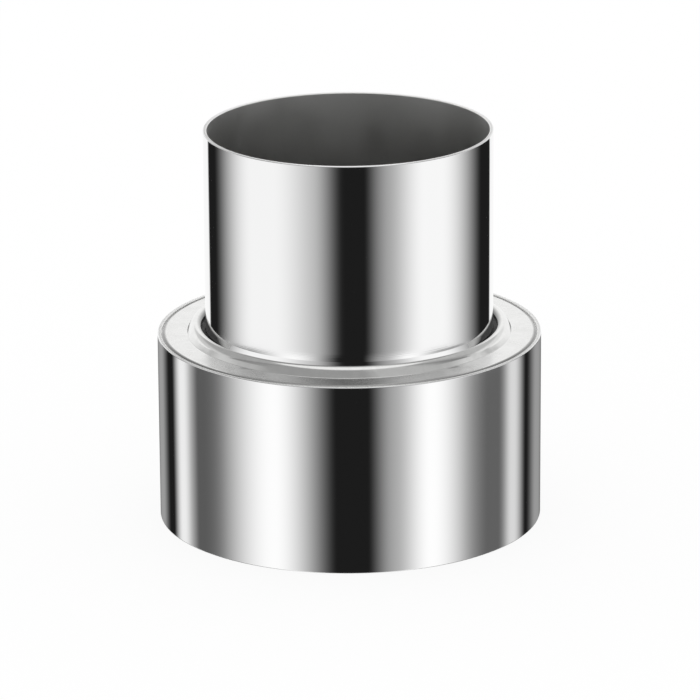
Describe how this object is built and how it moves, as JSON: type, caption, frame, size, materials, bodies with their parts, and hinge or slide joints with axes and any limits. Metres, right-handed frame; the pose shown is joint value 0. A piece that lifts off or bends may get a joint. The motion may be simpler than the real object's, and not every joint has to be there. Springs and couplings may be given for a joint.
{
  "type": "duct reducer",
  "caption": "Round stainless duct reducer: a wide lower tube stepped down by a flat shoulder with a low, round-backed collar to a narrower upper tube.",
  "frame": {"origin": "centre of the wide end's rim, on the surface that the reducer stands on", "axes": "+Z along the duct's axis, from the wide end to the narrow end; the tubes' lengthwise seams lie to -Y"},
  "size_m": [0.08, 0.08, 0.083],
  "materials": {
    "polished_tube": "polished",
    "satin_plate": "satin"
  },
  "bodies": {
    "root": {"socket_tube": "polished_tube", "shoulder_plate": "satin_plate", "spigot_tube": "polished_tube"}
  },
  "joints": []
}
